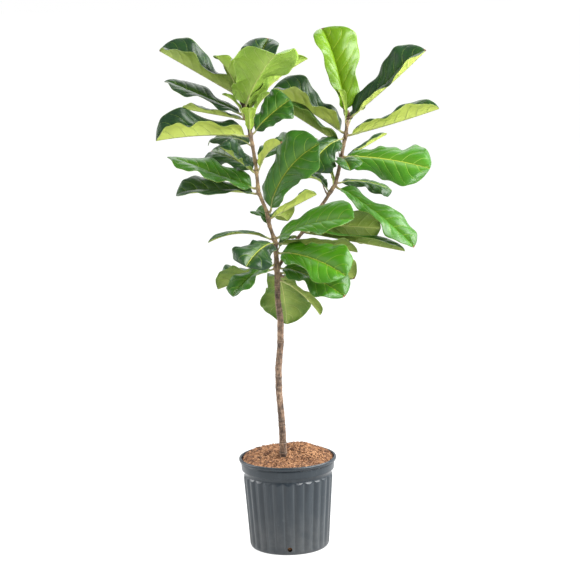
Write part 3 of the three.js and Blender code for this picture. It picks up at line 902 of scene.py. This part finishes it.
def blade_sheet(line, margins, half_width, dice):
    """A blade's middle sheet as a grid of points, the numbers its finish reads at each,
    and the columns of it that carry the midrib."""
    at = lengths_along(line)
    blade_length = at[-1]
    at = at / blade_length
    size = min(1.0, blade_length / full_length)
    rows = 40 + int(70 * size)
    flow = np.linspace(0, 1, rows)
    flow = 0.55 * flow + 0.45 * (0.5 - 0.5 * np.cos(math.pi * flow))
    middle = spline(at, line, flow)
    sides = [spline(at, edge, flow) - middle for edge in margins]
    plump = [np.linalg.norm(side, axis=1) for side in sides]
    ahead = unit(np.gradient(middle, axis=0))
    rib_half = (0.0006 + 0.0018 * size * (1 - flow)) * (1.0 if size > 0.6 else 0.8)

    columns = 6 + int(9 * min(1.0, half_width / 0.06))
    spread = np.linspace(0, 1, columns + 1)[1:]
    rib_edge = 0.001
    shares = np.concatenate([-spread[::-1], [-rib_edge, 0, rib_edge], spread])
    veins = max(4, int(round(blade_length / 0.031)))
    lean = min(0.30, 0.62 * half_width / blade_length)
    waves = dice.uniform(1.5, 2.8, 2)
    phases = dice.uniform(0, 2 * math.pi, 6)
    wave_height = half_width * dice.uniform(0.08, 0.15)
    bulge = half_width * dice.uniform(0.10, 0.17)
    quilt = 0.0011 + 0.0010 * size
    ends = np.clip(flow * 8, 0, 1) * np.clip((1 - flow) * 10, 0, 1)
    grid = np.zeros((rows, len(shares), 3))
    labels = ("across", "along", "vein_run", "offset")
    numbers = {label: np.zeros((rows, len(shares))) for label in labels}
    for column, share in enumerate(shares):
        which = 0 if share < 0 else 1
        reach = abs(share)
        notch = np.sin(2 * math.pi * waves[which] * 1.9 * flow + phases[which + 4])
        notch = 0.04 * notch * np.clip(flow * 5, 0, 1) * np.clip((1 - flow) * 5, 0, 1)
        width = plump[which] * (1 + notch)
        if reach <= rib_edge:
            out = rib_half * (reach / rib_edge)
        else:
            out = rib_half + (width - rib_half).clip(0.0002) * reach
        part = np.minimum(1, out / np.maximum(width, 1e-5))
        outward = unit(sides[which])
        up = unit(np.cross(outward, ahead)) if which == 1 else unit(np.cross(ahead, outward))
        run = veins * (flow - lean * part - 0.10 * part ** 3) + (0.12 if which else 0.45) + 20
        pillow = 1 - (np.abs((run % 1) - 0.5) * 2) ** 5
        inner = np.clip(part * 4, 0, 1) * np.clip((1 - part) * 5, 0, 1)
        rise = bulge * np.sin(math.pi * np.clip(part, 0, 1) ** 0.85) * width / half_width
        wave = np.sin(2 * math.pi * waves[which] * flow + phases[which])
        wave += 0.28 * np.sin(2 * math.pi * (waves[which] * 2.3) * flow + phases[which + 2])
        rise = rise + wave_height * wave * part ** 2.2 * ends
        rise = rise + quilt * pillow * inner * ends
        # The two halves of a folded blade bulge only as far as the room between them.
        other = unit(sides[1 - which])
        opening = np.arccos(np.clip((outward * other).sum(1), -0.98, 1))
        room = out * np.tan(opening / 2) * 0.7
        rise = np.where((up * other).sum(1) > 0, np.minimum(rise, room), np.maximum(rise, -room))
        grid[:, column] = middle + outward * out[:, None] + up * rise[:, None]
        for label, values in zip(labels, (part, flow, run, out)):
            numbers[label][:, column] = values
    return grid, numbers, np.arange(columns, columns + 3), blade_length


def blade_skins(grid, numbers, ribbed, size):
    """The upper and the under skin of a sheet, and how the midrib hangs at its foot."""
    thick = 0.00055
    face_up = unit(np.cross(np.gradient(grid, axis=1), np.gradient(grid, axis=0)))
    before, after = ribbed[0] - 1, ribbed[-1] + 1
    beside_rib = face_up[:, before:before + 1] + face_up[:, after:after + 1]
    face_up[:, ribbed] = unit(beside_rib)
    rib_deep = 0.0007 + 0.0030 * size * (1 - numbers["along"][:, 0]) ** 1.2
    rib_drop = np.zeros(grid.shape[:2])
    rib_drop[:, ribbed] = rib_deep[:, None] * np.array([0.35, 1.0, 0.35])
    vein_line = np.abs((numbers["vein_run"] % 1) - 0.5) * 2
    vein_drop = 0.0009 * size * np.clip((vein_line - 0.72) / 0.28, 0, 1)
    vein_drop = vein_drop * (1 - numbers["across"]) ** 0.7
    vein_drop[:, ribbed] = 0
    top = grid + face_up * thick / 2
    under = grid - face_up * (thick / 2 + rib_drop + vein_drop)[..., None]
    return top, under, face_up[0, ribbed[1]] * rib_deep[0]


def stalk_tube(cage, foot, hang):
    """Rings of points round a stalk, from inside the bark to a taper under the midrib,
    and the share of the way along at each ring."""
    ribs_at = (cage[3:5, 1] + cage[3:5, 2]) / 2
    line = np.array([foot, *cage[:3].mean(1), *ribs_at])
    line[0] = foot - unit(line[2] - foot) * 0.0035
    line[4] -= hang * 0.55
    line[5] -= hang * 0.60
    at = lengths_along(line)
    where = np.linspace(0, at[-1] * 0.985, 22)
    centres = spline(at, line, where)
    share = where / at[-1]
    cage_girth = np.linalg.norm(cage[0][0] - cage[0][3]) / 2
    girth = cage_girth * (0.78 + 0.42 * np.exp(-share / 0.10) + 0.10 * share)
    girth = girth * np.clip((1 - share) / 0.22, 0.30, 1) ** 0.5
    forward = unit(np.gradient(centres, axis=0))
    sideways = unit(np.cross(forward, np.array([0, 0, 1.0]) + 0 * forward) + 1e-6)
    upward = np.cross(sideways, forward)
    stalk_sides = 12
    turn = np.arange(stalk_sides) * 2 * math.pi / stalk_sides
    rings = (
        centres[:, None] + girth[:, None, None] * np.cos(turn)[None, :, None] * sideways[:, None]
        + girth[:, None, None] * np.sin(turn)[None, :, None] * upward[:, None]
    )
    return rings, share


def make_leaf(name, young, seed):
    """One blade with its stalk, drawn finely round the coarse cage of its CAD leaf."""
    cage, foot, tip = cage_of(frame["nodes"][name])
    dice = np.random.default_rng(seed)
    grid, numbers, ribbed, blade_length = blade_sheet(*margins_of(cage, tip), dice)
    top, under, hang = blade_skins(grid, numbers, ribbed, min(1.0, blade_length / full_length))
    tube, tube_share = stalk_tube(cage, foot, hang)

    top_numbers = np.arange(top.size // 3).reshape(top.shape[:2])
    top_faces = closed_grid(top_numbers)
    under_faces = closed_grid(top_numbers + top_numbers.size)[:, ::-1]
    rim = np.concatenate([
        top_numbers[:, -1], top_numbers[-1, -2:0:-1], top_numbers[::-1, 0], top_numbers[0, 1:-1],
    ])
    rim_low = rim + top_numbers.size
    rim_faces = np.stack([rim, rim_low, np.roll(rim_low, -1), np.roll(rim, -1)], axis=1)
    tube_numbers = np.arange(tube.size // 3).reshape(tube.shape[:2]) + 2 * top_numbers.size
    tube_faces = closed_grid(tube_numbers, around=True)[:, ::-1]
    points = np.concatenate([skin.reshape(-1, 3) for skin in (top, under, tube)])
    faces = np.concatenate([top_faces, under_faces, rim_faces, tube_faces]).tolist()
    faces += [tube_numbers[0].tolist(), tube_numbers[-1][::-1].tolist()]
    finishes = [young_top, young_under] if young else [mature_top, mature_under]
    piece = new_piece(name + "_blade", points.tolist(), faces, [*finishes, stalk_finish])
    slots = np.zeros(len(faces), np.int32)
    slots[len(top_faces):] = 1
    slots[len(top_faces) + len(under_faces) + len(rim_faces):] = 2
    piece.data.polygons.foreach_set("material_index", slots)

    tube_part = np.repeat(tube_share, tube.shape[1])
    blemish = np.zeros(top_numbers.size)
    if name in dry_tips or dice.random() < 0.12:
        gap = np.hypot((numbers["along"] - 1) * blade_length / 0.005, numbers["offset"] / 0.008)
        blemish = np.exp(-gap ** 2).ravel()
    # The tones carry painted light and shade as well as the leaf's own green.
    top_tone_and_light, under_tone_and_light = tones_and_light.get(name, (dice.uniform(0.15, 0.45), dice.uniform(0.3, 0.7)))
    tables = {label: values.ravel() for label, values in numbers.items()}
    tables.update({"tone_and_light": blemish * 0 + top_tone_and_light, "blemish": blemish})
    for label, values in tables.items():
        below = values * 0 + under_tone_and_light if label == "tone_and_light" else values
        tail = tube_part if label == "along" else tube_part * 0
        attribute = piece.data.attributes.new(label, "FLOAT", "POINT")
        attribute.data.foreach_set("value", np.concatenate([values, below, tail]))
    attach(piece, "root")
    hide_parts(name)


# How light each leaf's green is, on top and underneath: partly the leaf's own green and partly
# painted light and shade, high on fresh leaves and on leaves in the light.
tones_and_light = {
    "leaf_left_01": (0.2, 0.2), "leaf_left_02": (0.4, 0.13), "leaf_left_03": (0.4, 0.3),
    "leaf_left_04": (0.3, 0.13), "leaf_left_05": (0.65, 0.4), "leaf_left_06": (0.5, 0.4),
    "leaf_left_07": (0.95, 0.5), "leaf_left_09": (0.3, 0.18), "leaf_left_10": (0.08, 0.4),
    "leaf_left_11": (0.2, 0.3), "leaf_left_12": (0.85, 0.5), "leaf_left_13": (0.5, 0.4),
    "leaf_left_15": (0.5, 0.9), "leaf_left_16": (0.55, 0.5), "leaf_left_17": (0.12, 0.3),
    "leaf_left_18": (0.62, 0.6), "leaf_left_19": (0.1, 0.3), "leaf_left_20": (0.05, 0.3),
    "leaf_left_21": (0.4, 0.95), "leaf_left_23": (0.1, 0.4), "leaf_left_24": (0.10, 0.9),
    "leaf_left_25": (0.42, 0.6), "leaf_left_26": (1.0, 1.0), "leaf_left_29": (0.3, 0.6),
    "leaf_left_31": (0.10, 0.5), "leaf_left_32": (0.8, 0.7), "leaf_left_33": (0.5, 0.40),
    "leaf_left_34": (0.05, 0.4), "leaf_left_35": (0.3, 0.6), "leaf_left_36": (0.10, 0.28),
    "leaf_right_01": (0.7, 0.12), "leaf_right_02": (0.3, 0.15), "leaf_right_04": (0.75, 0.6),
    "leaf_right_08": (0.3, 0.9), "leaf_right_09": (0.8, 0.7), "leaf_right_10": (0.2, 0.12),
    "leaf_right_11": (0.2, 0.2), "leaf_right_12": (0.2, 0.95), "leaf_right_13": (0.15, 0.95),
    "leaf_right_16": (0.13, 0.9), "leaf_right_17": (0.50, 0.6),
}
dry_tips = ("leaf_right_17", "leaf_left_34", "leaf_left_36")
slot_of = {part["node"]: part["material_slot"] for part in frame["record"]["subparts"]}
for number, name in enumerate(leaf_nodes):
    make_leaf(name, slot_of[name] == "young_leaf", 100 + number)

# ---------- Room ----------
# A white floor, itself softly lit, that reaches far past the plant under white light,
# with a large soft lamp high on the right, panels at both sides and one behind, and a
# weak fill on the left.

floor_paint, wire, place = new_finish("lit_white_floor")
tint = wire.noise(place, 3, 2).blend((0.80, 0.80, 0.80, 1), (0.84, 0.84, 0.84, 1))
matt = wire.node("ShaderNodeBsdfPrincipled", None, {"Base Color": tint, "Roughness": 0.95})
lit_from_below = wire.node("ShaderNodeEmission", None, {
    "Color": (1.0, 1.0, 1.0, 1), "Strength": 1.3,
})
mixed = wire.node("ShaderNodeMixShader", None, {0: 0.70, 1: matt, 2: lit_from_below})
wire.node("ShaderNodeOutputMaterial", None, {"Surface": mixed})
far = 60
corners = [(-far, -far, 0), (far, -far, 0), (far, far, 0), (-far, far, 0)]
floor = new_piece("floor", corners, [(0, 1, 2, 3)], [floor_paint])

room = bpy.data.worlds.new("white_room")
room.use_nodes = True
room.node_tree.nodes.clear()
wire = Wire(room.node_tree)
_, north, up = wire.node("ShaderNodeTexCoord", out="Generated").axes()
ceiling = up.step(0.10, 0.45)
paper = ceiling.blend((1.0, 1.0, 1.0, 1), (0.50, 0.51, 0.53, 1))
behind_viewer = (-1 * north).step(0.05, 0.60)
paper = behind_viewer.blend(paper, (0.30, 0.31, 0.34, 1))
light = wire.node("ShaderNodeBackground", None, {"Color": paper, "Strength": 1.0})
wire.node("ShaderNodeOutputWorld", None, {"Surface": light})
bpy.context.scene.world = room
bpy.context.scene.view_settings.view_transform = "Standard"


def lamp(name, size, power, spot, aim):
    """A square soft lamp of so many watts, turned from its spot towards its aim."""
    light = bpy.data.lights.new(name, "AREA")
    light.shape = "SQUARE"
    light.size = size
    light.energy = power
    holder = new_object(name, light)
    holder.location = spot
    holder.rotation_euler = (Vector(aim) - Vector(spot)).to_track_quat("-Z", "Y").to_euler()


lamp("soft_key", 1.9, 150, (2.1, -1.6, 2.6), (0, 0, 0.8))
lamp("soft_fill", 1.5, 15, (-2.4, -2.0, 2.0), (0, 0, 0.8))
lamp("right_panel", 1.7, 105, (2.3, 0.25, 2.1), (0, 0, 0.9))
lamp("left_panel", 1.5, 48, (-2.4, 0.5, 1.4), (0, 0, 0.8))
lamp("back_panel", 2.6, 50, (0.2, 2.6, 3.3), (0, 0, 0.9))
